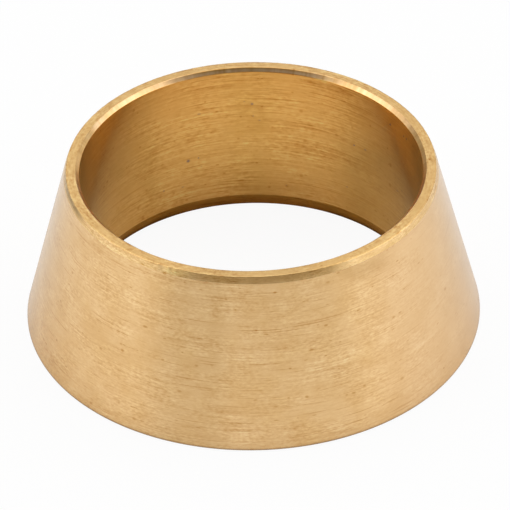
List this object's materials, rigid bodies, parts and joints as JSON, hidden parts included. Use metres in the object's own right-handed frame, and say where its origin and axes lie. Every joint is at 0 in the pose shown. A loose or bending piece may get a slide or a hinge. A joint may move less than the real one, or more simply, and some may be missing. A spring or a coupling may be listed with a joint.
{
  "type": "compression olive",
  "caption": "Tapered brass compression ring with a smooth pipe bore, a lead-in mouth and a flat base, squeezed onto a pipe by a nut to seal a joint.",
  "frame": {"origin": "centre of the wide base face, on the bore's axis", "axes": "+Z along the bore's axis, from the wide base to the narrow nose; X and Y are free, because the ring is round"},
  "size_m": [0.03, 0.03, 0.0114],
  "materials": {
    "turned_brass": "satin, as turned"
  },
  "bodies": {
    "root": {"olive": "turned_brass"}
  },
  "joints": []
}
